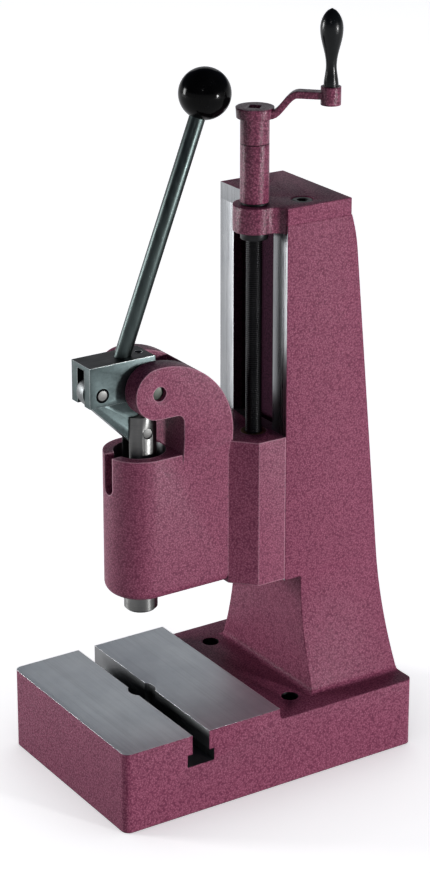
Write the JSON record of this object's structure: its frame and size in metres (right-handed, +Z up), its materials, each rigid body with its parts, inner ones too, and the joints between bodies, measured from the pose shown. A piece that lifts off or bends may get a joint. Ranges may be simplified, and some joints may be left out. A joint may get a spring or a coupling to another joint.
{
  "type": "bench toggle press",
  "caption": "Hand-lever bench press with a knee toggle on a sliding head, cast column and base with a T-slot table, and a crank spindle that sets the head height.",
  "frame": {"origin": "centre of the base's underside, on the bench", "axes": "+X to the operator's right, -Y to the operator, +Z up"},
  "size_m": [0.138, 0.214, 0.4831],
  "materials": {
    "hammertone_paint": "burgundy hammertone paint on cast iron, machined bare on the table and slideway",
    "machined_steel": "ground with fine parallel lines",
    "hub_steel": "milled, blue-grey oxide",
    "rod_steel": "drawn, dark oxide",
    "pin_steel": "turned and hardened",
    "bright_steel": "ground bright",
    "screw_steel": "black oiled thread",
    "black_steel": "black oxide",
    "bronze": "turned",
    "black_resin": "polished black resin"
  },
  "bodies": {
    "frame": {"frame_casting": "hammertone_paint", "top_plate": "hammertone_paint", "top_plate_screws": "black_steel", "spindle_bush": "bronze"},
    "head": {"head_casting": "hammertone_paint", "spindle_nut": "bronze", "guide_plate": "machined_steel", "guide_plate_screws": "black_steel"},
    "lever": {"toggle_hub": "hub_steel", "lever_rod": "rod_steel", "ball_knob": "black_resin", "pivot_pin": "pin_steel", "knee_pin": "pin_steel", "hub_set_screw": "bright_steel"},
    "link": {"toggle_link": "hub_steel", "link_bush": "bronze"},
    "ram": {"ram": "bright_steel", "ram_pin": "pin_steel"},
    "crank": {"spindle": "screw_steel", "spindle_collar": "screw_steel", "thrust_washer": "black_steel", "spindle_sleeve": "hammertone_paint", "crank": "hammertone_paint", "grip_axle": "rod_steel"},
    "grip": {"crank_grip": "black_resin"}
  },
  "joints": [
    {"name": "head_height", "type": "slide", "parent": "frame", "child": "head", "axis": [0, 0, 1], "range_m": [-0.008, 0.105]},
    {"name": "lever_swing", "type": "hinge", "parent": "head", "child": "lever", "pos_m": [0, -0.0535, 0.257], "axis": [1, 0, 0], "range_deg": [0, 87]},
    {"name": "knee", "type": "hinge", "parent": "lever", "child": "link", "pos_m": [0, -0.08498, 0.2581], "axis": [1, 0, 0], "range_deg": [-129.2, 0]},
    {"name": "ram_slide", "type": "slide", "parent": "head", "child": "ram", "axis": [0, 0, -1], "range_m": [0, 0.0457]},
    {"name": "crank_turn", "type": "hinge", "parent": "frame", "child": "crank", "pos_m": [0.016, 0.019, 0.38], "axis": [0, 0, 1], "range_deg": [-105, 135]},
    {"name": "grip_spin", "type": "hinge", "parent": "crank", "child": "grip", "pos_m": [0.04817, 0.05117, 0.45], "axis": [0, 0, 1], "continuous": true}
  ],
  "couplings": [
    {"joint": "knee", "follows": "lever_swing", "ratio": -1.484},
    {"joint": "ram_slide", "follows": "lever_swing", "m_per_rad": 0.030066}
  ]
}
